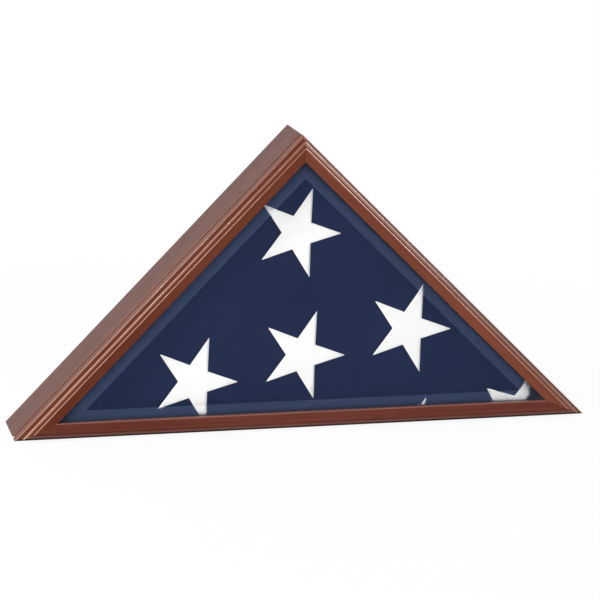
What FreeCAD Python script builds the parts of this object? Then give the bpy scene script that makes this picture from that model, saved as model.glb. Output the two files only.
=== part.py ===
import FreeCAD, Part
import math
import os

os.makedirs("parts", exist_ok=True)

Vec = FreeCAD.Vector

# Lengths are in millimetres. X runs to the viewer's right, Y from the front to the back, Z up.
# The origin is on the underside of the base, midway across and midway between front and back.

# outline of the case, to the outer edges of the boards and of the moulding
case_width = 648.0
case_height = 328.0

# boards of the triangular box
board_thickness = 16.0
board_depth = 73.5
board_front_round = 0.8
board_back_round = 1.6

# stepped moulding: insets run inward from the outer edge, heights forward from the boards
ridge_low_height = 22.0
ridge_mid_height = 31.5
ridge_top_height = 34.5
ridge_mid_inset = 3.5
ridge_top_inset = 8.2
riser_rake = 0.6
ridge_round = 1.1
quirk_round = 0.8
sight_inset = 19.6
sight_height = 31.3
sight_round = 0.9
lip_thickness = 4.4
seam_groove_depth = 1.3
seam_groove_width = 9.0
seam_groove_round = 12.0

# bevelled glass in the moulding's rabbet
glass_thickness = 5.0
glass_edge_thickness = 2.2
glass_bevel_width = 17.8
glass_cover = 4.4
glass_edge_gap = 0.4
glass_lip_gap = 0.1

# strips that hold the glass from behind
stop_depth = 7.0
stop_side_gap = 0.1
stop_glass_cover = 3.0
brads_per_stop = 3
brad_width = 1.0
brad_thickness = 1.2
brad_length = 11.0

# lens-shaped wooden biscuits between the moulding and the boards
rail_keys_per_side = 2

# steel wedges driven into the back of the moulding's mitres
wedges_per_mitre = 2
wedge_leg = 4.8
wedge_thickness = 0.5
wedge_height = 10.0
wedge_pitch = 4.6
wedge_from_inner = 4.6

# lens-shaped wooden biscuits, also in the boards' mitres
key_length = 47.0
key_width = 14.0
key_thickness = 4.0
key_from_inner = 8.5

# plywood door in a rabbet at the back
door_thickness = 4.0
door_rabbet_width = 8.0
door_gap = 0.8
door_seat_gap = 0.2
door_bevel = 2.4
door_tip_height = 9.0
door_finger_gap = 20.0

# butt hinges along the base
hinge_offset = 150.0
hinge_length = 25.0
leaf_width = 8.0
leaf_thickness = 0.9
knuckle_radius = 1.6
knuckle_lift = 0.3
knuckle_gap = 0.3
pin_radius = 0.8
pin_running_gap = 0.05

# countersunk hinge screws
screw_spacing = 15.0
screw_from_axis = 4.6
screw_head_radius = 1.7
screw_head_height = 0.8
screw_shank_radius = 0.85
case_screw_length = 9.5
door_screw_length = 4.2
slot_width = 0.5
slot_depth = 0.35

# disc magnets in the side boards and steel discs in the door
magnet_radius = 2.0
magnet_depth = 2.0
strike_depth = 1.2
magnet_wall = 0.6
magnet_from_apex = 70.0

# folded flag
flag_thickness = 76.0
flag_side_gap = 1.0
flag_rest_gap = 0.3
flag_stop_gap = 0.5
flag_layers = 2
flag_layer_shift = 0.8
flag_fold_round = 6.0
flag_corner_round = 12.0

# sewn stars: one tip of each points along the base, on a slanting grid
star_radius = 50.0
star_points = 5
star_waist = 0.382
star_turn = -2.5
star_thickness = 0.5
star_first_across = -1.5
star_first_height = 81.7
star_up_across = -4.6
star_up_height = 138.0
star_down_across = 7.0
star_down_height = -131.7
star_right_across = 121.6
star_right_height = 25.0
star_middle_steps = [-1, 0, 1]
star_top_steps = [0]
star_bottom_steps = [1, 2]

case_depth = ridge_top_height + board_depth
front_y = -case_depth / 2
seam_y = front_y + ridge_top_height
back_y = seam_y + board_depth
door_front_y = back_y - door_thickness
rabbet_floor_y = door_front_y - door_seat_gap
land_width = board_thickness - door_rabbet_width

slope_angle = math.atan2(case_height, case_width / 2)
slope_length = math.hypot(case_width / 2, case_height)
inradius = case_width * case_height / (case_width + 2 * slope_length)
centre = Vec(0, 0, inradius)
depth_axis = Vec(0, 1, 0)

glass_inset = sight_inset - glass_cover
glass_flat_inset = glass_inset + glass_bevel_width
bevel_drop = glass_thickness - glass_edge_thickness
glass_rise_at_sight = bevel_drop * glass_cover / glass_bevel_width
rabbet_inset = glass_inset - glass_edge_gap
rabbet_height = sight_height - lip_thickness
glass_back_height = rabbet_height - glass_lip_gap - glass_rise_at_sight - glass_edge_thickness
stop_back_height = glass_back_height - stop_depth
stop_inset = rabbet_inset + stop_side_gap
stop_inner = glass_inset + stop_glass_cover

axis_y = back_y + knuckle_lift + knuckle_radius
axis_z = land_width + door_gap / 2
leaf_back_y = back_y + leaf_thickness

flag_front_y = seam_y - stop_back_height + flag_stop_gap
flag_back_y = flag_front_y + flag_thickness
flag_inset = board_thickness + flag_side_gap
flag_bottom = board_thickness + flag_rest_gap


class Side:
    """One side of the triangle, with the mitres at its two ends."""

    def __init__(self, start, end):
        self.start = start
        self.end = end
        self.length = (end - start).Length
        self.along = (end - start) / self.length
        self.inward = self.along.cross(depth_axis)

    def at(self, along, inset, y):
        return self.start + self.along * along + self.inward * inset + depth_axis * y

    def wedge(self):
        outer_start = centre + (self.start - centre) * 2
        outer_end = centre + (self.end - centre) * 2
        return prism([centre, outer_start, outer_end], front_y - case_depth, 2 * case_depth + back_y)


class Mitre:
    """One corner of the triangle: the mitre line runs inward from the outer tip."""

    def __init__(self, tip):
        self.tip = tip
        self.inward = (centre - tip) / (centre - tip).Length
        self.across = self.inward.cross(depth_axis)
        self.half_angle = math.asin(inradius / (centre - tip).Length)

    def at(self, inward, across, y):
        return self.tip + self.inward * inward + self.across * across + depth_axis * y

    def inner(self, inset):
        return inset / math.sin(self.half_angle)


corner_left = Vec(-case_width / 2, 0, 0)
corner_right = Vec(case_width / 2, 0, 0)
corner_top = Vec(0, 0, case_height)
base_side = Side(corner_left, corner_right)
right_side = Side(corner_right, corner_top)
left_side = Side(corner_top, corner_left)
sides = [base_side, right_side, left_side]
mitres = [Mitre(corner_left), Mitre(corner_right), Mitre(corner_top)]


def prism(points, y, depth):
    """Polygon in the plane of the triangle, drawn out along the depth."""
    moved = [point + depth_axis * y for point in points]
    face = Part.Face(Part.makePolygon(moved + moved[:1]))
    return face.extrude(depth_axis * depth)


def rounded_wire(corners, place):
    """Closed outline of straight lines; a corner (a, b, radius) is rounded by a tangent arc."""
    count = len(corners)
    legs = []
    for index, (a, b, radius) in enumerate(corners):
        here = Vec(a, b, 0)
        before = (Vec(*corners[index - 1][:2], 0) - here).normalize()
        after = (Vec(*corners[(index + 1) % count][:2], 0) - here).normalize()
        half = before.getAngle(after) / 2
        tangent = radius / math.tan(half)
        middle = here
        if radius > 0:
            bisector = (before + after).normalize()
            middle = here + bisector * (radius / math.sin(half) - radius)
        legs.append((here + before * tangent, middle, here + after * tangent))
    edges = []
    for index, (arc_start, arc_middle, arc_end) in enumerate(legs):
        if corners[index][2] > 0:
            arc = Part.Arc(place(arc_start), place(arc_middle), place(arc_end))
            edges.append(arc.toShape())
        next_start = legs[(index + 1) % count][0]
        edges.append(Part.makeLine(place(arc_end), place(next_start)))
    return Part.Wire(edges)


def mitred_bar(side, corners):
    """Profile of (inset, y, radius) corners, run along one side and cut to its mitres."""
    wire = rounded_wire(corners, lambda point: side.at(0, point.x, point.y))
    bar = Part.Face(wire).extrude(side.along * side.length)
    return bar.common(side.wedge())


def rod(start, direction, radius, length):
    return Part.makeCylinder(radius, length, start, direction)


def spread(side, count):
    """Evenly spaced places along a side, half a step in from its ends."""
    return [side.length * (index + 0.5) / count for index in range(count)]


def triangle_line(inset, z):
    """Half width of the triangle's slopes at height z, the slopes moved inward by the inset."""
    return (case_height - inset / math.cos(slope_angle) - z) / math.tan(slope_angle)


def board(side):
    corners = [
        (0, seam_y, board_front_round),
        (board_thickness, seam_y, 0),
        (board_thickness, rabbet_floor_y, 0),
        (land_width, rabbet_floor_y, 0),
        (land_width, back_y, 0),
        (0, back_y, board_back_round),
    ]
    return mitred_bar(side, corners)


def moulding_rail(side):
    steps = [
        (rabbet_inset, 0, 0),
        (rabbet_inset, rabbet_height, 0),
        (sight_inset, rabbet_height, 0),
        (sight_inset, sight_height, sight_round),
        (ridge_top_inset, ridge_top_height, ridge_round),
        (ridge_top_inset - riser_rake, ridge_mid_height, quirk_round),
        (ridge_mid_inset, ridge_mid_height, ridge_round),
        (ridge_mid_inset - riser_rake, ridge_low_height, quirk_round),
        (0, ridge_low_height, ridge_round),
        (0, seam_groove_width, seam_groove_round),
        (seam_groove_depth, 0, 0),
    ]
    return mitred_bar(side, [(inset, seam_y - height, radius) for inset, height, radius in steps])


def glass_stop(side):
    back = seam_y - stop_back_height
    front = seam_y - glass_back_height
    corners = [(stop_inset, front, 0), (stop_inner, front, 0), (stop_inner, back, 0), (stop_inset, back, 0)]
    return mitred_bar(side, corners)


def glass_outline(inset, y):
    half = triangle_line(inset, inset)
    top = case_height - inset / math.cos(slope_angle)
    points = [Vec(-half, y, inset), Vec(half, y, inset), Vec(0, y, top)]
    return Part.makePolygon(points + points[:1])


def glass_pane():
    back = seam_y - glass_back_height
    edge = back - glass_edge_thickness
    slab = Part.Face(glass_outline(glass_inset, back)).extrude(depth_axis * -glass_edge_thickness)
    crown_wires = [glass_outline(glass_inset, edge), glass_outline(glass_flat_inset, edge - bevel_drop)]
    return slab.fuse(Part.makeLoft(crown_wires, True, True)).removeSplitter()


def stop_brads():
    middle_y = seam_y - (glass_back_height + stop_back_height) / 2
    brads = []
    for side in sides:
        for along in spread(side, brads_per_stop):
            near = along - brad_width / 2
            far = along + brad_width / 2
            tail = stop_inner - brad_length
            section = [(near, tail), (far, tail), (far, stop_inner), (near, stop_inner)]
            points = [side.at(place, inset, 0) for place, inset in section]
            brads.append(prism(points, middle_y - brad_thickness / 2, brad_thickness))
    return brads


def lens(ends, bows, normal):
    """Biscuit between two end points, bowed out through two points, as thick along the normal as a key."""
    upper = Part.Arc(ends[0], bows[0], ends[1])
    lower = Part.Arc(ends[1], bows[1], ends[0])
    face = Part.Face(Part.Wire([upper.toShape(), lower.toShape()]))
    return face.extrude(normal * key_thickness)


def frame_keys():
    near = (rabbet_inset - key_thickness) / 2
    keys = []
    for side in sides:
        for along in spread(side, rail_keys_per_side):
            ends = [side.at(along + end * key_length / 2, near, seam_y) for end in (-1, 1)]
            bows = [side.at(along, near, seam_y + bow * key_width / 2) for bow in (-1, 1)]
            keys.append(lens(ends, bows, side.inward))
    return keys


def frame_wedges():
    reach = wedge_leg * math.cos(math.pi / 4)
    thick = wedge_thickness / math.cos(math.pi / 4)
    chevron = [(0, 0), (-reach, reach), (-reach - thick, reach), (-thick, 0), (-reach - thick, -reach), (-reach, -reach)]
    wedges = []
    for mitre in mitres:
        for index in range(wedges_per_mitre):
            tip = mitre.inner(rabbet_inset) - wedge_from_inner - index * wedge_pitch
            points = [mitre.at(tip + inward, across, 0) for inward, across in chevron]
            wedges.append(prism(points, seam_y - wedge_height, wedge_height))
    return wedges


def corner_keys():
    middle_y = (seam_y + back_y) / 2
    keys = []
    for mitre in mitres:
        near = mitre.inner(board_thickness) - key_from_inner - key_thickness / 2
        ends = [mitre.at(near, 0, middle_y + end * key_length / 2) for end in (-1, 1)]
        bows = [mitre.at(near, bow * key_width / 2, middle_y) for bow in (-1, 1)]
        keys.append(lens(ends, bows, mitre.inward))
    return keys


def door_outline(inset, y):
    bottom = land_width + door_gap
    tip_top = bottom + door_tip_height
    top = case_height - land_width / math.cos(slope_angle) - door_finger_gap
    half_tip = triangle_line(inset, tip_top)
    half_top = triangle_line(inset, top)
    right = [Vec(half_tip, y, bottom), Vec(half_tip, y, tip_top), Vec(half_top, y, top)]
    left = [Vec(-point.x, y, point.z) for point in reversed(right)]
    points = right + left
    return Part.makePolygon(points + points[:1])


def door_panel():
    back_inset = land_width + door_gap
    wires = [door_outline(back_inset + door_bevel, door_front_y), door_outline(back_inset, back_y)]
    return Part.makeLoft(wires, True, True)


def knuckle_span(middle_x, index):
    """Start and length along X of one of a hinge's three knuckles."""
    pitch = hinge_length / 3
    return middle_x - hinge_length / 2 + pitch * index + knuckle_gap / 2, pitch - knuckle_gap


def barrel(middle_x, index, radius, margin=0.0):
    start, length = knuckle_span(middle_x, index)
    return rod(Vec(start - margin, axis_y, axis_z), Vec(1, 0, 0), radius, length + 2 * margin)


def hinge_leaf(middle_x, direction, own, others, bore_radius, screws):
    low = min(axis_z, axis_z + direction * leaf_width)
    corner = Vec(middle_x - hinge_length / 2, back_y, low)
    leaf = Part.makeBox(hinge_length, leaf_thickness, leaf_width, corner)
    sweep = knuckle_lift + knuckle_radius + knuckle_gap
    for index in others:
        leaf = leaf.cut(barrel(middle_x, index, sweep, knuckle_gap))
    for index in own:
        leaf = leaf.fuse(barrel(middle_x, index, knuckle_radius))
    for index in own:
        leaf = leaf.cut(barrel(middle_x, index, bore_radius, knuckle_gap))
    for screw in screws:
        leaf = leaf.cut(screw)
    return leaf.removeSplitter()


def hinge_pin(middle_x):
    start = Vec(middle_x - hinge_length / 2 + knuckle_gap / 2, axis_y, axis_z)
    return rod(start, Vec(1, 0, 0), pin_radius, hinge_length - knuckle_gap)


def screw_blank(x, z, length):
    head = Part.makeCone(
        screw_head_radius, screw_shank_radius, screw_head_height, Vec(x, leaf_back_y, z), depth_axis * -1
    )
    shank = rod(Vec(x, leaf_back_y, z), depth_axis * -1, screw_shank_radius, length)
    return head.fuse(shank).removeSplitter()


def screw_places(direction):
    z = axis_z + direction * screw_from_axis
    return [
        (side_sign * hinge_offset + end * screw_spacing / 2, z)
        for side_sign in (-1, 1)
        for end in (-1, 1)
    ]


def slotted(blank, x, z):
    corner = Vec(x - screw_head_radius, leaf_back_y - slot_depth, z - slot_width / 2)
    return blank.cut(Part.makeBox(2 * screw_head_radius, slot_depth, slot_width, corner))


def magnet_places():
    inset = board_thickness - magnet_wall - magnet_radius
    left = left_side.at(magnet_from_apex, inset, 0)
    return [left, Vec(-left.x, 0, left.z)]


def door_magnets():
    return [
        rod(place + depth_axis * rabbet_floor_y, depth_axis * -1, magnet_radius, magnet_depth)
        for place in magnet_places()
    ]


def strike_discs():
    return [
        rod(place + depth_axis * door_front_y, depth_axis, magnet_radius, strike_depth)
        for place in magnet_places()
    ]


def flag_outline(inset, y):
    """Rounded triangle of the bundle, drawn in from its full girth by the inset."""
    slope_inset = flag_inset + inset
    bottom = flag_bottom + inset
    half = triangle_line(slope_inset, bottom)
    top = case_height - slope_inset / math.cos(slope_angle)
    radius = flag_corner_round - inset
    corners = [(-half, bottom, radius), (half, bottom, radius), (0, top, radius)]
    return rounded_wire(corners, lambda point: Vec(point.x, y, point.y))


def flag_layer(y, inset):
    """One turn of folded cloth: a pad with round fold edges."""
    depth = flag_thickness / flag_layers
    pad = Part.Face(flag_outline(inset, y)).extrude(depth_axis * depth)
    rims = [edge for edge in pad.Edges if edge.BoundBox.YLength < flag_rest_gap]
    return pad.makeFillet(flag_fold_round, rims)


def folded_flag():
    depth = flag_thickness / flag_layers
    layers = [
        flag_layer(flag_front_y + depth * index, flag_layer_shift * (index % 2))
        for index in range(flag_layers)
    ]
    return layers[0].multiFuse(layers[1:])


def star_middles():
    first = Vec(star_first_across, 0, star_first_height)
    up = Vec(star_up_across, 0, star_up_height)
    down = Vec(star_down_across, 0, star_down_height)
    right = Vec(star_right_across, 0, star_right_height)
    rows = [(first, star_middle_steps), (first + up, star_top_steps), (first + down, star_bottom_steps)]
    return [start + right * step for start, steps in rows for step in steps]


def flag_stars():
    face = Part.Face(flag_outline(flag_fold_round, flag_front_y)).extrude(depth_axis * -star_thickness)
    stars = []
    for middle in star_middles():
        points = []
        for index in range(2 * star_points):
            angle = math.radians(star_turn) + math.pi * index / star_points
            radius = star_radius if index % 2 == 0 else star_radius * star_waist
            points.append(middle + Vec(radius * math.cos(angle), 0, radius * math.sin(angle)))
        star = prism(points, flag_front_y - star_thickness, star_thickness).common(face)
        stars.extend(star.Solids)
    return stars


def cut_all(shape, tools):
    for tool in tools:
        shape = shape.cut(tool)
    return shape


def save(name, shapes):
    shape = shapes[0] if len(shapes) == 1 else Part.makeCompound(shapes)
    shape.exportStep("parts/" + name + ".step")


rail_keys = frame_keys()
wedges = frame_wedges()
brads = stop_brads()
keys = corner_keys()
magnets = door_magnets()
strikes = strike_discs()
case_screw_places = screw_places(-1)
door_screw_places = screw_places(1)
case_blanks = [screw_blank(x, z, case_screw_length) for x, z in case_screw_places]
door_blanks = [screw_blank(x, z, door_screw_length) for x, z in door_screw_places]

save("left_side_board", [cut_all(board(left_side), rail_keys + keys + magnets)])
save("right_side_board", [cut_all(board(right_side), rail_keys + keys + magnets)])
save("base_board", [cut_all(board(base_side), rail_keys + keys + case_blanks)])
save("corner_biscuits", keys)
save("frame_left_rail", [cut_all(moulding_rail(left_side), rail_keys + wedges + brads)])
save("frame_right_rail", [cut_all(moulding_rail(right_side), rail_keys + wedges + brads)])
save("frame_base_rail", [cut_all(moulding_rail(base_side), rail_keys + wedges + brads)])
save("frame_biscuits", rail_keys)
save("frame_v_nails", wedges)
save("glass_pane", [glass_pane()])
save("glass_stop_left", [cut_all(glass_stop(left_side), brads)])
save("glass_stop_right", [cut_all(glass_stop(right_side), brads)])
save("glass_stop_base", [cut_all(glass_stop(base_side), brads)])
save("stop_brads", brads)
save("back_door_panel", [cut_all(door_panel(), door_blanks + strikes)])
for name, middle_x in (("left_hinge", -hinge_offset), ("right_hinge", hinge_offset)):
    save(name + "_case_leaf", [hinge_leaf(middle_x, -1, (0, 2), (1,), pin_radius, case_blanks)])
    save(name + "_door_leaf", [hinge_leaf(middle_x, 1, (1,), (0, 2), pin_radius + pin_running_gap, door_blanks)])
    save(name + "_pin", [hinge_pin(middle_x)])
save("hinge_case_screws", [slotted(blank, *place) for blank, place in zip(case_blanks, case_screw_places)])
save("hinge_door_screws", [slotted(blank, *place) for blank, place in zip(door_blanks, door_screw_places)])
save("door_magnets", magnets)
save("door_strike_discs", strikes)
save("folded_flag", [folded_flag()])
save("flag_stars", flag_stars())
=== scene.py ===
import math

import bmesh
import bpy
from mathutils import Euler, Matrix, Vector, noise
from mathutils.bvhtree import BVHTree


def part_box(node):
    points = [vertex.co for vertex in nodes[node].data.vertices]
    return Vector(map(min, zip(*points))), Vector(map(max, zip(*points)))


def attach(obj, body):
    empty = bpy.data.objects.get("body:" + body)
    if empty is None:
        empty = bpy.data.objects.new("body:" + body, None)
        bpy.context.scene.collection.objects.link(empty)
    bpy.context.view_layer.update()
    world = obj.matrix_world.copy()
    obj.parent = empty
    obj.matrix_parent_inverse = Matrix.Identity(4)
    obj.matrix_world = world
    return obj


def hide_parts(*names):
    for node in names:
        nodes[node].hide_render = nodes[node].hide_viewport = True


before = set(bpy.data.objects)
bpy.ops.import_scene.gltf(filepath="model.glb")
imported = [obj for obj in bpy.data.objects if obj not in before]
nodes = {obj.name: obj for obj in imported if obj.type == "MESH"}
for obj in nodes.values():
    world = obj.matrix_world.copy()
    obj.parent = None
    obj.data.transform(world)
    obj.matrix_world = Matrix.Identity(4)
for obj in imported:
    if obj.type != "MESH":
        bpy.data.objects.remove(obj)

scene = bpy.context.scene
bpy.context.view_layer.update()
print("frame loaded:", len(nodes), "nodes")

# the triangle of the case, read off the boards
boardLow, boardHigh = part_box("left_side_board")
caseHalf, caseTop = -boardLow.x, boardHigh.z
slope = math.atan2(caseTop, caseHalf)  # angle of the sloping sides
outerPlane = caseHalf * math.sin(slope)  # from the origin to the outer face of a sloping side


class Wire:  # a shader socket that takes part in sums
    def __init__(self, tree, socket=None):
        self.tree = tree
        self.socket = socket

    def node(self, kind, settings=None, links=None, out=0):  # adds any node, gives one output
        made = self.tree.nodes.new(kind)
        for key, value in (settings or {}).items():
            setattr(made, key, value)
        for key, value in (links or {}).items():
            if isinstance(value, Wire):
                self.tree.links.new(value.socket, made.inputs[key])
            else:
                made.inputs[key].default_value = value
        return Wire(self.tree, made.outputs[out] if made.outputs else None)

    def calc(self, operation, *values):
        return self.node("ShaderNodeMath", {"operation": operation}, dict(enumerate(values)))

    def __add__(self, other):
        return self.calc("ADD", self, other)

    def __sub__(self, other):
        return self.calc("SUBTRACT", self, other)

    def __rsub__(self, other):
        return self.calc("SUBTRACT", other, self)

    def __mul__(self, other):
        return self.calc("MULTIPLY", self, other)

    def __pow__(self, other):
        return self.calc("POWER", self, other)

    __radd__ = __add__
    __rmul__ = __mul__

    def sine(self):
        return self.calc("SINE", self)

    def size(self):
        return self.calc("ABSOLUTE", self)

    def most(self, other):
        return self.calc("MAXIMUM", self, other)

    def between(self, low, high):  # 0 at low, 1 at high, eased
        return self.node("ShaderNodeMapRange", {"interpolation_type": "SMOOTHSTEP"},
                         {"Value": self, "From Min": low, "From Max": high})

    def part(self, axis):
        return self.node("ShaderNodeSeparateXYZ", None, {0: self}, axis)

    def blend(self, first, second):  # this value mixes two colours
        return self.node("ShaderNodeMix", {"data_type": "RGBA"}, {0: self, 6: first, 7: second}, 2)


def rgb(red, green, blue):
    return (red, green, blue, 1.0)


def newMaterial(name):
    made = bpy.data.materials.new(name)
    made.use_nodes = True
    made.node_tree.nodes.clear()
    return made, Wire(made.node_tree)


def surface(wire, shader):
    wire.node("ShaderNodeOutputMaterial", None, {"Surface": shader})


def principled(wire, sockets):
    return wire.node("ShaderNodeBsdfPrincipled", None, sockets)


def objectPlace(wire, turn=0.0):  # object coordinates, turned so that X runs along a board
    place = wire.node("ShaderNodeTexCoord", out="Object")
    return wire.node("ShaderNodeMapping", None, {"Vector": place, "Rotation": (0.0, turn, 0.0)})


def stretched(wire, place, scale, detail=2.0, rough=0.5, warp=0.0):  # noise, in waves per metre
    spread = wire.node("ShaderNodeMapping", None, {"Vector": place, "Scale": scale})
    sockets = {"Vector": spread, "Scale": 1.0, "Detail": detail, "Roughness": rough}
    return wire.node("ShaderNodeTexNoise", None, {**sockets, "Distortion": warp}, "Fac")


def stripes(place, pitch):  # waves from 0 to 1
    return (place * (math.tau / pitch)).sine() * 0.5 + 0.5


def atLeast(mask, least):  # lifts a mask's 0 to the least value
    return mask * (1.0 - least) + least


def relief(wire, height, depth):
    return wire.node("ShaderNodeBump", None,
                     {"Height": height, "Distance": depth, "Strength": 1.0})


def clothe(names, material):  # a CAD node keeps its mesh and takes a finish
    for name in names:
        nodes[name].material_slots[0].material = material


# stained hardwood under gloss lacquer
woodGrain = {
    "figure": ((2.6, 46.0, 46.0), 3.0, 0.55, 0.35),  # noise: scale, detail, roughness, warp
    "streak": ((7.0, 430.0, 430.0), 2.0, 0.6),
    "pores": ((55.0, 2300.0, 2300.0), 1.0),
    "patches": ((18.0, 160.0, 160.0), 2.0),  # noise that makes the painted highlights along the edges patchy
    "sheen": ((60.0, 90.0, 90.0), 2.0),
    "peel": ((240.0, 420.0, 420.0), 1.0),  # of the lacquer
    "figureShare": 0.62,  # the rest of the tone is streaks
    "toneSpan": (0.28, 0.72),
    "poreSpan": (0.60, 0.74),
    "poreDark": 0.55,
    "highlightReach": (0.0014, 0.0004),  # from an edge line: where the painted highlight starts, and is full
    "highlightSpan": (0.20, 0.60),
    "highlightLeast": 0.65,  # what the patches leave of the painted highlight
    "highlightPaint": 0.80,
    "highlightFadeLeast": 0.40,  # what is left of the painted highlight at its faintest end
    "paintedShadeReach": (0.0020, 0.0006),
    "paintedShadeStrength": 0.85,
    "roughVary": 0.12,
    "peelRelief": 0.4,
    "relief": 0.000018,
    "coatRough": 0.14,
    "coatIor": 1.5,
}
lowRidge, midRidge, topRidge = -0.0415, -0.0510, -0.0540  # y of the moulding's three fronts
sightEdge = 0.0196  # inset of the rail's inner edge
alongApex = caseTop * math.sin(slope)  # the apex, measured along a sloping side
# the boards: the pale edge colour is a painted highlight
boardLook = {
    "poreAndShade": rgb(0.030, 0.0085, 0.0060),
    "deep": rgb(0.072, 0.0185, 0.0110),
    "pale": rgb(0.120, 0.0360, 0.0215),
    "paintedHighlight": rgb(0.300, 0.1700, 0.1450),
    "rough": 0.30,
    "shine": 0.042,
    "lacquer": 0.02,
    "buildUp": 0.10,  # more lacquer, along the painted highlights
    "paintedHighlights": [(0.0, -0.0195, 0.60), (0.0, 0.0540, 0.50)],  # painted highlights along edge lines: (inset, y, strength)
    "paintedShadeLines": [],  # painted shade in inner corners
    "highlightFade": None,
}
# the rails: painted highlights on the ridges' arrises, painted shade in their inner corners
railLook = {
    "poreAndShade": rgb(0.034, 0.0085, 0.0060),
    "deep": rgb(0.098, 0.0220, 0.0105),
    "pale": rgb(0.156, 0.0410, 0.0205),
    "paintedHighlight": rgb(0.600, 0.3500, 0.2700),
    "rough": 0.30,
    "shine": 0.048,
    "lacquer": 0.022,
    "buildUp": 0.90,
    "paintedHighlights": [
        (0.0, lowRidge, 0.62), (0.0014, lowRidge, 0.22),
        (0.0035, midRidge, 0.84), (0.0052, midRidge, 0.24),
        (0.0082, topRidge, 0.56),
    ],
    "paintedShadeLines": [(0.0032, lowRidge, 0.60), (0.0079, midRidge, 0.45)],
    "highlightFade": (alongApex, alongApex - 0.30),  # the painted highlights grow along the rail, from the apex
}
# the right rail: its stain and pale edges are painted lighter than the left rail's, a lit copy of the
# same wood
rightRailLook = {
    **railLook,
    "deep": rgb(0.118, 0.0300, 0.0150),
    "pale": rgb(0.186, 0.0530, 0.0290),
    "paintedHighlight": rgb(0.800, 0.5300, 0.4500),
    "shine": 0.075,
    "lacquer": 0.035,
    "paintedHighlights": [
        (0.0, lowRidge, 0.60), (0.0014, lowRidge, 0.36),
        (0.0035, midRidge, 1.0), (0.0056, midRidge, 0.30),
        (0.0082, topRidge, 1.0),
    ],
    "paintedShadeLines": [(0.0032, lowRidge, 0.15), (0.0079, midRidge, 0.15)],
    "highlightFade": (alongApex, -alongApex),
}
# the base rail: its stain is painted darker, a shaded copy of the same wood, with painted highlights
# along the sight edge's lip
baseRailLook = {
    **railLook,
    "poreAndShade": rgb(0.012, 0.0040, 0.0030),
    "deep": rgb(0.084, 0.0200, 0.0130),
    "pale": rgb(0.134, 0.0375, 0.0265),
    "paintedHighlight": rgb(0.420, 0.2300, 0.1900),
    "shine": 0.030,
    "lacquer": 0.035,
    "paintedHighlights": [
        (0.0052, midRidge, 0.24), (0.0066, midRidge, 0.12),
        (sightEdge, -0.0508, 0.42), (sightEdge, -0.0490, 0.40), (sightEdge, -0.0470, 0.36),
    ],
    "paintedShadeLines": [
        (0.0082, -0.0520, 0.4), (0.0034, -0.0504, 1.0),
        (0.0002, lowRidge, 1.0), (0.0014, lowRidge, 1.0),  # painted shade on the foot, darkest
    ],
    "highlightFade": None,
}
railLooks = {"left": railLook, "right": rightRailLook, "base": baseRailLook}


def nearLines(inset, depth, lines, reach):  # 1 on the lines, 0 past their reach
    mask = None
    for lineInset, lineDepth, strength in lines:
        gap = ((inset - lineInset) ** 2 + (depth - lineDepth) ** 2) ** 0.5
        near = gap.between(*reach) * strength
        mask = near if mask is None else mask.most(near)
    return mask


def woodMaterial(name, look, turn, outer):
    made, wire = newMaterial(name)
    place = objectPlace(wire, turn)
    figure, streak, pores, patches, sheen, peel = (
        stretched(wire, place, *woodGrain[layer])
        for layer in ("figure", "streak", "pores", "patches", "sheen", "peel"))
    pores = pores.between(*woodGrain["poreSpan"])
    tone = figure * woodGrain["figureShare"] + streak * (1.0 - woodGrain["figureShare"])
    colour = tone.between(*woodGrain["toneSpan"]).blend(look["deep"], look["pale"])
    colour = (pores * woodGrain["poreDark"]).blend(colour, look["poreAndShade"])
    height, depth = place.part("Z"), place.part("Y")
    inset = outer - height if outer else height
    # painted highlights: pale colour along the moulding's edge lines, made patchy, and fading along the
    # rail where set
    paintedHighlight = nearLines(inset, depth, look["paintedHighlights"], woodGrain["highlightReach"])
    paintedHighlight = paintedHighlight * atLeast(patches.between(*woodGrain["highlightSpan"]), woodGrain["highlightLeast"])
    if look["highlightFade"]:
        paintedHighlight = paintedHighlight * atLeast(place.part("X").between(*look["highlightFade"]), woodGrain["highlightFadeLeast"])
    colour = (paintedHighlight * woodGrain["highlightPaint"]).blend(colour, look["paintedHighlight"])
    # painted shade along the inner corners and on the base rail's foot, in the pore colour
    if look["paintedShadeLines"]:
        paintedShade = nearLines(inset, depth, look["paintedShadeLines"], woodGrain["paintedShadeReach"])
        colour = (paintedShade * woodGrain["paintedShadeStrength"]).blend(colour, look["poreAndShade"])
    surface(wire, principled(wire, {
        "Base Color": colour,
        "Roughness": look["rough"] + (sheen - 0.5 + pores) * woodGrain["roughVary"],
        "Specular IOR Level": look["shine"],
        "Coat Weight": look["lacquer"] + paintedHighlight * look["buildUp"],
        "Coat Roughness": woodGrain["coatRough"],
        "Coat IOR": woodGrain["coatIor"],
        "Normal": relief(wire, peel * woodGrain["peelRelief"] - pores, woodGrain["relief"]),
    }))
    return made


sides = [("left", slope, outerPlane), ("right", -slope, outerPlane), ("base", 0.0, 0.0)]
for sideName, turn, outer in sides:
    boardNode = "base_board" if sideName == "base" else sideName + "_side_board"
    railNode = "frame_" + sideName + "_rail"
    # each stain here also carries painted highlights, and on the rails painted shade
    clothe([boardNode], woodMaterial(sideName + "BoardStainPaintedHighlight", boardLook, turn, outer))
    clothe([railNode], woodMaterial(sideName + "RailStainPaintedLight", railLooks[sideName], turn, outer))
print("boards and rails stained")

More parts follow.
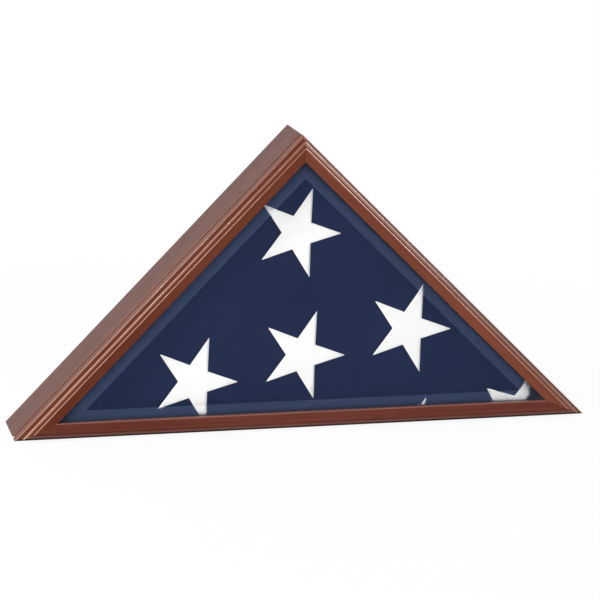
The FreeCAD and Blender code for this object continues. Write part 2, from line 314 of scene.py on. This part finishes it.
# plainer woods: the strips behind the glass and the beech keys
plainGrain = {
    "streak": ((9.0, 320.0, 320.0), 3.0, 0.6),
    "fleck": ((160.0, 1500.0, 1500.0), 1.0),
    "toneSpan": (0.30, 0.70),
    "fleckSpan": (0.58, 0.70),
    "fleckDark": 0.35,
    "fleckRough": 0.12,
    "fleckRelief": 0.5,
    "shine": 0.30,
    "relief": 0.00012,
}
stopLook = {"deep": rgb(0.045, 0.013, 0.009), "pale": rgb(0.080, 0.025, 0.017), "rough": 0.55}
beechLook = {"deep": rgb(0.47, 0.31, 0.18), "pale": rgb(0.66, 0.49, 0.32), "rough": 0.70}


def plainWood(name, look, turn=0.0):
    made, wire = newMaterial(name)
    place = objectPlace(wire, turn)
    streak = stretched(wire, place, *plainGrain["streak"])
    fleck = stretched(wire, place, *plainGrain["fleck"]).between(*plainGrain["fleckSpan"])
    colour = streak.between(*plainGrain["toneSpan"]).blend(look["deep"], look["pale"])
    height = streak - fleck * plainGrain["fleckRelief"]
    surface(wire, principled(wire, {
        "Base Color": (fleck * plainGrain["fleckDark"]).blend(colour, look["deep"]),
        "Roughness": look["rough"] + fleck * plainGrain["fleckRough"],
        "Specular IOR Level": plainGrain["shine"],
        "Normal": relief(wire, height, plainGrain["relief"]),
    }))
    return made


for sideName, turn, _ in sides:
    clothe(["glass_stop_" + sideName], plainWood(sideName + "StopStain", stopLook, turn))
clothe(["corner_biscuits", "frame_biscuits"], plainWood("bareBeech", beechLook))

# plywood door, with a flat-cut veneer that shows long arches
doorLook = {
    "deep": rgb(0.070, 0.0200, 0.0120),
    "pale": rgb(0.150, 0.0500, 0.0290),
    "plyPale": rgb(0.36, 0.24, 0.14),
    "plyDark": rgb(0.16, 0.085, 0.050),
    "plies": 3,
    "plySharp": 8.0,
    "plyShare": 0.8,  # the rest of the edge's tone is streaks
    "ringPitch": 0.0105,
    "archMiddle": (-0.07, 0.105),  # (x, z) that the growth rings run round
    "archFlat": 0.075,  # height of the arches, as a share of their length
    "drift": ((4.0, 30.0, 13.0), 3.0),
    "driftReach": 0.055,  # how far the rings wander
    "streak": ((8.0, 260.0, 300.0), 2.0, 0.6),
    "pores": ((45.0, 1900.0, 1900.0), 1.0),
    "poreSpan": (0.60, 0.72),
    "poreDark": 0.45,
    "ringShare": 0.34,
    "streakShare": 0.46,
    "driftShare": 0.20,
    "toneSpan": (0.18, 0.74),
    "faceSpan": (0.80, 0.95),  # of the normal's depth, from the edge to the face
    "rough": 0.42,
    "edgeRough": 0.3,
    "streakRough": 0.10,
    "shine": 0.15,
    "streakRelief": 0.5,
    "relief": 0.00006,
}


def doorMaterial():
    made, wire = newMaterial("doorPlywood")
    place = objectPlace(wire)
    low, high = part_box("back_door_panel")
    middleX, middleZ = doorLook["archMiddle"]
    drift = stretched(wire, place, *doorLook["drift"])
    streak = stretched(wire, place, *doorLook["streak"])
    pores = stretched(wire, place, *doorLook["pores"]).between(*doorLook["poreSpan"])
    run = (place.part("X") - middleX) * doorLook["archFlat"]
    arch = ((place.part("Z") - middleZ) ** 2 + run ** 2) ** 0.5
    rings = stripes(arch + drift * doorLook["driftReach"], doorLook["ringPitch"]) ** 2
    tone = rings * doorLook["ringShare"] + streak * doorLook["streakShare"]
    tone = (tone + drift * doorLook["driftShare"]).between(*doorLook["toneSpan"])
    veneer = tone.blend(doorLook["pale"], doorLook["deep"])
    veneer = (pores * doorLook["poreDark"]).blend(veneer, doorLook["deep"])
    layer = (place.part("Y") - low.y) * (math.pi * doorLook["plies"] / (high.y - low.y))
    ply = (layer.sine() * doorLook["plySharp"]).between(-1.0, 1.0)
    ply = ply * doorLook["plyShare"] + streak * (1.0 - doorLook["plyShare"])
    edge = ply.blend(doorLook["plyDark"], doorLook["plyPale"])
    facing = wire.node("ShaderNodeTexCoord", out="Normal").part("Y").size()
    face = facing.between(*doorLook["faceSpan"])
    rough = (1.0 - face) * doorLook["edgeRough"] + streak * doorLook["streakRough"]
    surface(wire, principled(wire, {
        "Base Color": face.blend(edge, veneer),
        "Roughness": doorLook["rough"] + rough,
        "Specular IOR Level": doorLook["shine"],
        "Normal": relief(wire, streak * doorLook["streakRelief"] - pores, doorLook["relief"]),
    }))
    return made


clothe(["back_door_panel"], doorMaterial())
print("door, stops and keys finished")

# metals
metalWear = {
    "tarnish": ((220.0, 220.0, 220.0), 4.0, 0.65),
    "tarnishSpan": (0.35, 0.75),
    "tarnishDull": 0.55,
    "tarnishRough": 0.14,
    "brushRough": 0.10,
    "relief": 0.00003,
}
metals = {
    "hingeBrass": {
        "bright": rgb(0.80, 0.57, 0.25), "dull": rgb(0.50, 0.33, 0.13),
        "rough": 0.26, "brush": (30.0, 900.0, 900.0),
        "nodes": ["left_hinge_case_leaf", "left_hinge_door_leaf",
                  "right_hinge_case_leaf", "right_hinge_door_leaf"],
    },
    "screwBrass": {
        "bright": rgb(0.58, 0.38, 0.14), "dull": rgb(0.28, 0.17, 0.06),
        "rough": 0.32, "brush": (600.0, 600.0, 600.0),
        "nodes": ["hinge_case_screws", "hinge_door_screws"],
    },
    "brightSteel": {
        "bright": rgb(0.62, 0.62, 0.63), "dull": rgb(0.36, 0.36, 0.37),
        "rough": 0.30, "brush": (80.0, 1200.0, 1200.0),
        "nodes": ["frame_v_nails", "stop_brads", "left_hinge_pin", "right_hinge_pin",
                  "door_strike_discs"],
    },
    "platedMagnet": {
        "bright": rgb(0.72, 0.72, 0.70), "dull": rgb(0.48, 0.47, 0.45),
        "rough": 0.18, "brush": (900.0, 900.0, 900.0),
        "nodes": ["door_magnets"],
    },
}


def metalMaterial(name, look):
    made, wire = newMaterial(name)
    place = objectPlace(wire)
    tarnish = stretched(wire, place, *metalWear["tarnish"]).between(*metalWear["tarnishSpan"])
    brush = stretched(wire, place, look["brush"])
    rough = tarnish * metalWear["tarnishRough"] + (brush - 0.5) * metalWear["brushRough"]
    surface(wire, principled(wire, {
        "Base Color": (tarnish * metalWear["tarnishDull"]).blend(look["bright"], look["dull"]),
        "Metallic": 1.0,
        "Roughness": look["rough"] + rough,
        "Normal": relief(wire, brush, metalWear["relief"]),
    }))
    return made


for name, look in metals.items():
    clothe(look["nodes"], metalMaterial(name, look))
print("metals finished")

# bevelled glass: clear to lamps, with a faint bluish diffuse layer on the bevel as a painted reflection
glassLook = {
    "tint": rgb(0.992, 0.998, 0.996),
    "bend": 1.12,
    "mirror": rgb(0.0, 0.0, 0.0),  # nothing straight on, and only at a slant
    "paintedBevelReflection": rgb(0.34, 0.48, 0.82),
    "paintedReflectionShare": 0.058,
    "bevelRough": 0.32,
    "bevelStart": (0.00003, 0.00014),  # behind the front: where the bevel and its painted reflection start, and are full
    "bevelEnd": (0.0030, 0.0028),  # and where it has gone, and is still full
}


def mixed(wire, share, first, second):
    return wire.node("ShaderNodeMixShader", None, {0: share, 1: first, 2: second})


def anyRay(wire, *kinds):  # 1 for rays of these kinds
    rays = [wire.node("ShaderNodeLightPath", out=kind) for kind in kinds]
    found = rays[0]
    for ray in rays[1:]:
        found = found.most(ray)
    return found


def glassMaterial():
    made, wire = newMaterial("bevelledGlass")
    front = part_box("glass_pane")[0].y
    depth = objectPlace(wire).part("Y")
    start, end = ([front + gap for gap in glassLook[key]] for key in ("bevelStart", "bevelEnd"))
    onBevel = depth.between(*start) * depth.between(*end)
    pane = principled(wire, {
        "Base Color": glassLook["tint"],
        "Roughness": onBevel * glassLook["bevelRough"],
        "IOR": glassLook["bend"],
        "Specular Tint": glassLook["mirror"],
        "Transmission Weight": 1.0,
    })
    # painted reflection: a bluish diffuse layer on the bevel stands in for its lighter reflected band
    paintedBevelReflection = wire.node("ShaderNodeBsdfDiffuse", None, {"Color": glassLook["paintedBevelReflection"]})
    paneAndPaintedReflection = mixed(wire, onBevel * glassLook["paintedReflectionShare"], pane, paintedBevelReflection)
    clear = wire.node("ShaderNodeBsdfTransparent", None, {"Color": glassLook["tint"]})
    lit = anyRay(wire, "Is Shadow Ray", "Is Diffuse Ray")
    surface(wire, mixed(wire, lit, paneAndPaintedReflection, clear))
    return made


clothe(["glass_pane"], glassMaterial())
print("glass finished")

# folded flag: a stack of folds, swelled by a cloth simulation inside the space of its solid
flagForm = {
    "layers": 6,
    "gap": 0.017,  # from the outer face of a sloping side to the cloth
    "shrink": 0.0018,  # the folds start this much smaller all round
    "frontShrink": 0.0006,  # but less at the front, which lies flat behind the glass
    "setBacks": [0.0, 0.0016, 0.0004, 0.0020, 0.0008, 0.0013],  # of each fold's edges
    "foldRound": 0.0016,
    "foldSegments": 4,
    "cornerRound": 0.0120,
    "cornerLoss": 0.5,  # share of a fold's inset that comes off its corner radius
    "cornerSegments": 7,
    "overlap": 0.0012,
    "tuckDepth": 0.0085,
    "tuckSunk": 0.4,  # share of its depth that is sunk in the bundle
    "tuckSetBack": 0.0008,
    "tuckLine": ((0.052, 0.30), (-0.085, 0.0)),  # edge of the tucked-in end: two (x, z) points
    "voxel": 0.0035,
    "frames": 20,
    "swell": 0.0015,  # most that a point may move
    "cloth": {
        "quality": 5, "mass": 0.2, "tension_stiffness": 12.0, "compression_stiffness": 12.0,
        "shear_stiffness": 6.0, "bending_stiffness": 0.6,
        "use_pressure": True, "uniform_pressure_force": 4.0,
    },
    "smooth": 0.25,
    "ripple": 0.00030,
    "rippleScale": 13.0,
    "fineRipple": 0.4,  # a second ripple: its share
    "fineScale": 2.7,  # and how much finer it is
    "clear": 0.0002,  # least gap to the glass and the base board
    "restBand": 0.0070,  # cloth this near the base board is pressed flat on it
    "frontRise": 1.3,  # and so is its front edge, to this many bands high, up to the glass
}
flagLow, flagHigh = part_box("folded_flag")


def triangleCorners(inset):  # sharp corners of the bundle's outline, drawn in
    bottom = flagLow.z + inset
    top = caseTop - (flagForm["gap"] + inset) / math.cos(slope)
    half = (top - bottom) / math.tan(slope)
    return [Vector((x, 0.0, z)) for x, z in ((-half, bottom), (half, bottom), (0.0, top))]


def roundedFace(mesh, inset, y):
    corners = [mesh.verts.new(corner + Vector((0.0, y, 0.0))) for corner in triangleCorners(inset)]
    mesh.faces.new(corners)
    radius = flagForm["cornerRound"] - inset * flagForm["cornerLoss"]
    for group, angle in ((corners[:2], slope), (corners[2:], math.pi - 2.0 * slope)):
        bmesh.ops.bevel(mesh, geom=group, offset=radius / math.tan(angle / 2.0),
                        offset_type="OFFSET", segments=flagForm["cornerSegments"], profile=0.5,
                        affect="VERTICES", material=-1)


def foldPad(inset, y, depth, cutLine=None):  # one fold: a pad with round edges
    pad = bmesh.new()
    roundedFace(pad, inset, y)
    if cutLine:
        start, end = (Vector((x, 0.0, z)) for x, z in cutLine)
        across = (end - start).cross(Vector((0.0, 1.0, 0.0)))
        bmesh.ops.bisect_plane(pad, geom=pad.verts[:] + pad.edges[:] + pad.faces[:],
                               plane_co=start, plane_no=across, clear_outer=True)
    grown = bmesh.ops.extrude_face_region(pad, geom=pad.faces[:])
    moved = [item for item in grown["geom"] if isinstance(item, bmesh.types.BMVert)]
    bmesh.ops.translate(pad, vec=(0.0, depth, 0.0), verts=moved)
    bmesh.ops.recalc_face_normals(pad, faces=pad.faces[:])
    rims = [e for e in pad.edges if abs(e.verts[0].co.y - e.verts[1].co.y) < 1e-6]
    bmesh.ops.bevel(pad, geom=rims, offset=flagForm["foldRound"], offset_type="OFFSET",
                    segments=flagForm["foldSegments"], profile=0.5, affect="EDGES", material=-1)
    return pad


def addTo(whole, part):  # one bmesh goes into another
    data = bpy.data.meshes.new("part")
    part.to_mesh(data)
    part.free()
    whole.from_mesh(data)
    bpy.data.meshes.remove(data)


def newPiece(name, mesh):
    data = bpy.data.meshes.new(name)
    mesh.to_mesh(data)
    mesh.free()
    piece = bpy.data.objects.new(name, data)
    scene.collection.objects.link(piece)
    return piece


def smoothFaces(piece):
    for face in piece.data.polygons:
        face.use_smooth = True


def evaluatedMesh(piece):
    bpy.context.view_layer.update()
    graph = bpy.context.evaluated_depsgraph_get()
    return bpy.data.meshes.new_from_object(piece.evaluated_get(graph))


def takeShape(piece, mesh):  # the evaluated mesh becomes the piece's own
    old = piece.data
    piece.modifiers.clear()
    piece.data = mesh
    mesh.name = piece.name
    bpy.data.meshes.remove(old)


def foldStack():
    stack = bmesh.new()
    shrink, tuck = flagForm["shrink"], flagForm["tuckDepth"]
    front = flagLow.y + flagForm["frontShrink"]
    back = flagHigh.y - shrink - tuck * (1.0 - flagForm["tuckSunk"])
    step = (back - front) / flagForm["layers"]
    for index, setBack in enumerate(flagForm["setBacks"]):
        addTo(stack, foldPad(shrink + setBack, front + step * index, step + flagForm["overlap"]))
    tuckStart = back - tuck * flagForm["tuckSunk"]
    addTo(stack, foldPad(shrink + flagForm["tuckSetBack"], tuckStart, tuck, flagForm["tuckLine"]))
    return stack


def swell(piece):  # air pressure in the cloth, with each point's travel capped
    rest = [v.co.copy() for v in piece.data.vertices]
    cloth = piece.modifiers.new("swell", "CLOTH")
    for key, value in flagForm["cloth"].items():
        setattr(cloth.settings, key, value)
    cloth.settings.effector_weights.gravity = 0.0
    cloth.point_cache.frame_start = 1
    cloth.point_cache.frame_end = flagForm["frames"]
    for number in range(1, flagForm["frames"] + 1):
        scene.frame_set(number)
    shaped = evaluatedMesh(piece)
    for vertex, start in zip(shaped.vertices, rest):
        travel = vertex.co - start
        if travel.length > flagForm["swell"]:
            vertex.co = start + travel * (flagForm["swell"] / travel.length)
    takeShape(piece, shaped)
    scene.frame_set(1)


def slacken(piece):  # ripples of the cloth between its folds, and a foot that rests flat
    shape = bmesh.new()
    shape.from_mesh(piece.data)
    bmesh.ops.smooth_vert(shape, verts=shape.verts[:], factor=flagForm["smooth"],
                          use_axis_x=True, use_axis_y=True, use_axis_z=True)
    band = flagForm["restBand"]
    leastY, leastZ = flagLow.y + flagForm["clear"], flagLow.z + flagForm["clear"]
    for vertex in shape.verts:
        place = vertex.co * flagForm["rippleScale"]
        fine = flagForm["fineRipple"] * noise.noise(place * flagForm["fineScale"])
        vertex.co -= vertex.normal * flagForm["ripple"] * (1.0 + (noise.noise(place) + fine))
        vertex.co.y = max(vertex.co.y, leastY)
        low = (vertex.co.z - flagLow.z) / band
        front = (vertex.co.y - flagLow.y) / band
        if low < flagForm["frontRise"] and front < 1.0:
            vertex.co.y = leastY + band * max(front, 0.0) ** 3
        if low < 1.0:
            vertex.co.z = leastZ + band * max(low, 0.0) ** 3
    shape.to_mesh(piece.data)
    shape.free()


def clothUv(mesh):  # cloth coordinates in metres, box-laid by the way each face looks
    layer = mesh.uv_layers.new(name="cloth")
    for face in mesh.polygons:
        facing = face.normal
        for index in face.loop_indices:
            place = mesh.vertices[mesh.loops[index].vertex_index].co
            if abs(facing.y) > 0.55:  # front and back
                layer.data[index].uv = (place.x, place.z)
            elif facing.z < -0.7:  # foot
                layer.data[index].uv = (place.x, place.y)
            else:
                run = (place.z - math.copysign(place.x, facing.x)) * math.sqrt(0.5)
                layer.data[index].uv = (run, place.y)


flag = newPiece("foldedFlag", foldStack())
remesh = flag.modifiers.new("remesh", "REMESH")
remesh.mode = "VOXEL"
remesh.voxel_size = flagForm["voxel"]
takeShape(flag, evaluatedMesh(flag))
swell(flag)
slacken(flag)
clothUv(flag.data)
smoothFaces(flag)
finer = flag.modifiers.new("finer", "SUBSURF")
finer.levels = 1
finer.render_levels = 1
print("flag folded:", len(flag.data.polygons), "faces")

clothLook = {
    "deep": rgb(0.0123, 0.0198, 0.0532),
    "pale": rgb(0.0176, 0.0262, 0.0682),
    "pitch": 0.00062,  # from one yarn to the next
    "turn": 0.20,  # the yarns lie at the slant of the star rows
    "shade": ((9.0, 9.0, 9.0), 3.0, 0.6),
    "slub": ((90.0, 1500.0, 1.0), 2.0),
    "shadeShare": 0.55,
    "slubShare": 0.25,
    "weaveShare": 0.20,
    "toneSpan": (0.25, 0.75),
    "rough": 0.82,
    "weaveRough": 0.10,
    "shine": 0.06,
    "sheen": 0.03,
    "sheenRough": 0.45,
    "sheenTint": rgb(0.55, 0.62, 0.90),
    "slubRelief": 0.5,
    "stitchRelief": 2.0,
    "relief": 0.00012,
    "thread": rgb(0.075, 0.100, 0.210),
    "hemRows": (-0.0055, -0.0090),  # two rows of stitches, from the tucked-in end's edge
    "rowReach": (0.0008, 0.0003),
    "stitch": 0.0034,
    "dashSpan": (-0.4, 0.2),
    "flapReach": (0.0030, 0.0020),  # from the bundle's back: the flap alone has stitches
}


def hemStitches(wire, place):  # 1 on the stitches
    (startX, startZ), (endX, endZ) = flagForm["tuckLine"]
    run = Vector((endX - startX, endZ - startZ)).normalized()
    across = (place.part("X") - startX) * -run.y + (place.part("Z") - startZ) * run.x
    along = place.part("X") * run.x + place.part("Z") * run.y
    dashes = (along * (math.tau / clothLook["stitch"])).sine().between(*clothLook["dashSpan"])
    onFlap = place.part("Y").between(*(flagHigh.y - gap for gap in clothLook["flapReach"]))
    first, second = ((across - row).size().between(*clothLook["rowReach"])
                     for row in clothLook["hemRows"])
    return first.most(second) * dashes * onFlap


def clothMaterial():
    made, wire = newMaterial("navyCloth")
    laid = wire.node("ShaderNodeUVMap", {"uv_map": "cloth"})
    laid = wire.node("ShaderNodeMapping", None,
                     {"Vector": laid, "Rotation": (0.0, 0.0, clothLook["turn"])})
    waves = math.tau / clothLook["pitch"]
    warp = (laid.part("X") * waves).sine()
    weft = (laid.part("Y") * waves).sine()
    weave = (warp * weft) * 0.5 + 0.5
    place = objectPlace(wire)
    shade = stretched(wire, place, *clothLook["shade"])
    slub = stretched(wire, laid, *clothLook["slub"])
    tone = shade * clothLook["shadeShare"] + slub * clothLook["slubShare"]
    tone = (tone + weave * clothLook["weaveShare"]).between(*clothLook["toneSpan"])
    dyed = tone.blend(clothLook["deep"], clothLook["pale"])
    stitches = hemStitches(wire, place)
    height = weave + slub * clothLook["slubRelief"] + stitches * clothLook["stitchRelief"]
    surface(wire, principled(wire, {
        "Base Color": stitches.blend(dyed, clothLook["thread"]),
        "Roughness": clothLook["rough"] + weave * clothLook["weaveRough"],
        "Specular IOR Level": clothLook["shine"],
        "Sheen Weight": clothLook["sheen"],
        "Sheen Roughness": clothLook["sheenRough"],
        "Sheen Tint": clothLook["sheenTint"],
        "Normal": relief(wire, height, clothLook["relief"]),
    }))
    return made


flag.data.materials.append(clothMaterial())

# sewn stars: each lies on the cloth and rolls with it over the folds
starForm = {
    "radius": 0.0500,
    "waist": 0.370,  # inner corners, as a share of the radius
    "wide": 0.985,
    "tall": 1.055,
    "turn": math.radians(-2.5),
    "tipRound": 0.0016,
    "tipSegments": 3,
    "first": (-0.0015, 0.0817),  # (x, z) of the middle star
    "right": (0.1216, 0.0250),  # from a star to the next one in its row
    "rows": {1: (-0.0046, 0.1380), 0: (0.0, 0.0), -1: (0.0070, -0.1317)},
    "places": [(0, 0), (1, 0), (0, 1), (0, -1), (-1, 1), (-1, 2)],  # (row, step to the right)
    "pulls": {  # the bottom fold shifts two stars by (x, z), and adds to the waist of one
        (-1, 1): (-0.0030, 0.0024, 0.0),
        (-1, 2): (0.0016, 0.0010, 0.075),
    },
    "border": 0.0030,  # width of the satin-stitched edge
    "grain": 0.0036,  # longest edge of the fine mesh
    "cuts": 5,  # most rounds of cuts towards it
    "roll": 0.0022,  # radius of the fold that the stars follow
    "wrapEnd": 0.0046,  # cloth past the roll's start that still shows
    "reach": 0.0080,  # furthest that the cloth may lie from the flat star
    "castFrom": 0.03,  # off the cloth, where the search for it starts
    "lift": 0.00022,
    "hump": 0.00028,
    "humpRun": 0.75,  # how much of the hump's curve the border takes
    "thick": 0.00045,
}


def starOutline(middle, waist):
    corners = []
    for index in range(10):
        angle = starForm["turn"] + math.pi * index / 5.0
        reach = starForm["radius"] * (1.0 if index % 2 == 0 else waist)
        x, z = math.cos(angle) * starForm["wide"], math.sin(angle) * starForm["tall"]
        corners.append(middle + reach * Vector((x, z)))
    return corners


def sidesOf(line):  # start and end of each side of a closed line
    return zip(line, line[1:] + line[:1])


def nearestOn(line, point):  # gap to a closed line, the nearest point and how far along it lies
    best, along = (math.inf, None, 0.0), 0.0
    for start, end in sidesOf(line):
        run = end - start
        share = max(0.0, min(1.0, (point - start).dot(run) / run.length_squared))
        gap = (point - start - run * share).length
        if gap < best[0]:
            best = (gap, start + run * share, along + run.length * share)
        along += run.length
    return best


flatEdge = [Vector((corner.x, corner.z)) for corner in triangleCorners(starForm["roll"])]


def clothPlace(point):  # flat cloth rolled over the bundle's edge: place, way out, gap past the edge
    if all((end - start).cross(point - start) >= 0.0 for start, end in sidesOf(flatEdge)):
        return Vector((point.x, flagLow.y, point.y)), Vector((0.0, -1.0, 0.0)), 0.0
    roll = starForm["roll"]
    gap, foot, _ = nearestOn(flatEdge, point)
    away = (point - foot) / max(gap, 1e-9)
    angle = min(gap / roll, math.pi / 2.0)
    outward = Vector((away.x * math.sin(angle), -math.cos(angle), away.y * math.sin(angle)))
    middle = Vector((foot.x, flagLow.y + roll, foot.y))
    past = max(0.0, gap - roll * math.pi / 2.0)
    return middle + outward * roll + Vector((0.0, past, 0.0)), outward, gap


def flatStar(outline):  # a flat face with an inset border, cut into fine triangles
    star = bmesh.new()
    ring = [star.verts.new((corner.x, 0.0, corner.y)) for corner in outline]
    star.faces.new(ring)
    bmesh.ops.bevel(star, geom=ring[::2], offset=starForm["tipRound"], offset_type="OFFSET",
                    segments=starForm["tipSegments"], profile=0.5, affect="VERTICES", material=-1)
    bmesh.ops.inset_region(star, faces=star.faces[:], thickness=starForm["border"],
                           use_even_offset=True)
    bmesh.ops.triangulate(star, faces=star.faces[:])
    for _ in range(starForm["cuts"]):
        long = [e for e in star.edges if e.calc_length() > starForm["grain"]]
        if not long:
            break
        bmesh.ops.subdivide_edges(star, edges=long, cuts=1)
        bmesh.ops.triangulate(star, faces=[f for f in star.faces if len(f.verts) > 3])
    return star


def sewnStar(middle, waist, clothTree):
    outline = starOutline(middle, waist)
    star = flatStar(outline)
    rim = star.verts.layers.float.new("rim")  # distance from the star's edge
    along = star.verts.layers.float.new("along")  # distance round it
    fill = star.verts.layers.float_vector.new("fill")  # place in the star, upright
    hidden = []
    for vertex in star.verts:
        flat = Vector((vertex.co.x, vertex.co.z))
        vertex[rim], _, vertex[along] = nearestOn(outline, flat)
        local = Matrix.Rotation(-starForm["turn"], 2) @ (flat - middle)
        vertex[fill] = (local.x, local.y, 0.0)
        place, outward, gap = clothPlace(flat)
        hit = clothTree.ray_cast(place + outward * starForm["castFrom"], -outward)[0]
        covered = gap > starForm["wrapEnd"]
        if hit is None or covered or (hit - place).length > starForm["reach"]:
            hidden.append(vertex)
            continue
        edge = min(vertex[rim] / starForm["border"], 1.0)
        hump = starForm["hump"] * math.sin(math.pi * edge * starForm["humpRun"])
        vertex.co = hit + outward * (starForm["lift"] + hump)
    bmesh.ops.delete(star, geom=hidden, context="VERTS")
    bmesh.ops.recalc_face_normals(star, faces=star.faces[:])
    if sum(f.normal.y for f in star.faces) > 0.0:
        bmesh.ops.reverse_faces(star, faces=star.faces[:])
    return star


bpy.context.view_layer.update()
flagTree = BVHTree.FromObject(flag, bpy.context.evaluated_depsgraph_get())
allStars = bmesh.new()
for row, step in starForm["places"]:
    pullX, pullZ, filled = starForm["pulls"].get((row, step), (0.0, 0.0, 0.0))
    middle = Vector(starForm["first"]) + Vector(starForm["rows"][row])
    middle = middle + Vector(starForm["right"]) * step + Vector((pullX, pullZ))
    addTo(allStars, sewnStar(middle, starForm["waist"] + filled, flagTree))
stars = newPiece("flagStars", allStars)
smoothFaces(stars)
padding = stars.modifiers.new("padding", "SOLIDIFY")
padding.thickness = starForm["thick"]
padding.offset = -1.0
print("stars sewn on:", len(stars.data.polygons), "faces")

threadLook = {
    "pale": rgb(0.92, 0.92, 0.915),
    "deep": rgb(0.80, 0.80, 0.795),
    "pitch": 0.00075,  # of the rows that fill a star
    "satinPitch": 0.00060,  # of the stitches across its border
    "borderSpan": (1.05, 0.85),  # where the border ends, in its own widths
    "wander": ((160.0, 160.0, 1.0), 2.0),
    "rowWander": 0.0005,
    "satinWander": 0.0004,
    "shade": ((60.0, 60.0, 1.0), 3.0),
    "laidShare": 0.55,  # the rest of the tone is shade
    "toneSpan": (0.10, 0.62),
    "rough": 0.62,
    "gapRough": 0.20,  # more, between the threads
    "shine": 0.30,
    "relief": 0.00016,
}


def threadMaterial():
    made, wire = newMaterial("whiteThread")
    rim = wire.node("ShaderNodeAttribute", {"attribute_name": "rim"}, out="Fac")
    along = wire.node("ShaderNodeAttribute", {"attribute_name": "along"}, out="Fac")
    fill = wire.node("ShaderNodeAttribute", {"attribute_name": "fill"}, out="Vector")
    border = rim.between(*(starForm["border"] * share for share in threadLook["borderSpan"]))
    wander = stretched(wire, fill, *threadLook["wander"]) - 0.5
    satin = stripes(along + wander * threadLook["satinWander"], threadLook["satinPitch"])
    rows = stripes(fill.part("Y") + wander * threadLook["rowWander"], threadLook["pitch"])
    laid = border * satin + (1.0 - border) * rows
    shade = stretched(wire, fill, *threadLook["shade"])
    tone = laid * threadLook["laidShare"] + shade * (1.0 - threadLook["laidShare"])
    tone = tone.between(*threadLook["toneSpan"])
    surface(wire, principled(wire, {
        "Base Color": tone.blend(threadLook["deep"], threadLook["pale"]),
        "Roughness": threadLook["rough"] + (1.0 - laid) * threadLook["gapRough"],
        "Specular IOR Level": threadLook["shine"],
        "Normal": relief(wire, laid, threadLook["relief"]),
    }))
    return made


stars.data.materials.append(threadMaterial())
for piece, node, slotName in ((flag, "folded_flag", "flag_cloth"), (stars, "flag_stars", "star_cloth")):
    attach(piece, "case")
    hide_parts(node)

# floor, light and camera
stageLook = {
    "floor": rgb(0.72, 0.72, 0.72),
    "grain": (30.0, 30.0, 30.0),
    "rough": 0.75,
    "grainRough": 0.2,
    "reach": 9.0,
    "rounds": 96,
    "white": rgb(1.0, 1.0, 1.0),
    "whiteNear": 0.91,  # share of plain white near the object, where the floor keeps its shadow
    "fade": (0.55, 1.50),  # from there out to all white
    "sky": rgb(0.97, 0.98, 1.0),
    "ambient": 0.60,
}


def seenRays(wire):  # rays that show a background: from the camera, mirrored or through glass
    return anyRay(wire, "Is Camera Ray", "Is Glossy Ray", "Is Transmission Ray")


def floorMaterial():
    made, wire = newMaterial("paleFloor")
    place = wire.node("ShaderNodeTexCoord", out="Object")
    away = wire.node("ShaderNodeVectorMath", {"operation": "LENGTH"}, {0: place}, "Value")
    grain = stretched(wire, place, stageLook["grain"])
    matt = principled(wire, {
        "Base Color": stageLook["floor"],
        "Roughness": stageLook["rough"] + grain * stageLook["grainRough"],
        "Specular IOR Level": 0.0,
    })
    white = wire.node("ShaderNodeEmission", None, {"Color": stageLook["white"], "Strength": 1.0})
    share = atLeast(away.between(*stageLook["fade"]), stageLook["whiteNear"])
    surface(wire, mixed(wire, share * seenRays(wire), matt, white))
    return made


floorMesh = bmesh.new()
bmesh.ops.create_circle(floorMesh, cap_ends=True, segments=stageLook["rounds"],
                        radius=stageLook["reach"])
floor = newPiece("floor", floorMesh)
floor.data.materials.append(floorMaterial())

world = bpy.data.worlds.new("studio")
scene.world = world
world.use_nodes = True
world.node_tree.nodes.clear()
sky = Wire(world.node_tree)
ambient = sky.node("ShaderNodeBackground", None,
                   {"Color": stageLook["sky"], "Strength": stageLook["ambient"]})
plain = sky.node("ShaderNodeBackground", None, {"Color": stageLook["white"], "Strength": 1.0})
sky.node("ShaderNodeOutputWorld", None, {"Surface": mixed(sky, seenRays(sky), ambient, plain)})

warmWhite = (1.0, 0.99, 0.98)
lamps = {
    "keySoftbox": {"from": (-1.20, -0.50, 1.30), "size": 0.34, "watts": 18.0,
                   "colour": (1.0, 0.975, 0.95)},
    "rightSoftbox": {"from": (1.50, -0.05, 0.95), "size": 0.30, "watts": 7.0,
                     "colour": (1.0, 0.985, 0.97)},
    "backFill": {"from": (1.00, 2.40, 1.10), "size": 1.00, "watts": 30.0, "colour": warmWhite},
    "frontFill": {"from": (-2.00, -2.00, 0.42), "size": 1.40, "watts": 48.0, "colour": warmWhite},
    "rightFill": {"from": (1.90, -2.10, 0.45), "size": 1.20, "watts": 10.5, "colour": warmWhite},
}
aim = Vector((0.0, 0.0, 0.13))
for name, lamp in lamps.items():
    light = bpy.data.lights.new(name, "AREA")
    light.size = lamp["size"]
    light.energy = lamp["watts"]
    light.color = lamp["colour"]
    holder = bpy.data.objects.new(name, light)
    holder.location = lamp["from"]
    holder.rotation_euler = (aim - holder.location).to_track_quat("-Z", "Y").to_euler()
    scene.collection.objects.link(holder)

cameraLook = {
    "place": (-0.64205, -3.14744, 0.77482),
    "right": 0.202428,  # turn to the right, then down, in radians
    "down": 0.196087,
    "roll": 0.00031,
    "lens": 175.27,
    "sensor": 36.0,
}
cameraData = bpy.data.cameras.new("camera")
cameraData.lens = cameraLook["lens"]
cameraData.sensor_width = cameraLook["sensor"]
camera = bpy.data.objects.new("camera", cameraData)
camera.location = cameraLook["place"]
tilt = math.pi / 2.0 - cameraLook["down"]
camera.rotation_euler = Euler((tilt, cameraLook["roll"], -cameraLook["right"]), "XYZ")
scene.collection.objects.link(camera)
scene.camera = camera
scene.view_settings.view_transform = "Standard"
print("stage, lamps and camera set")
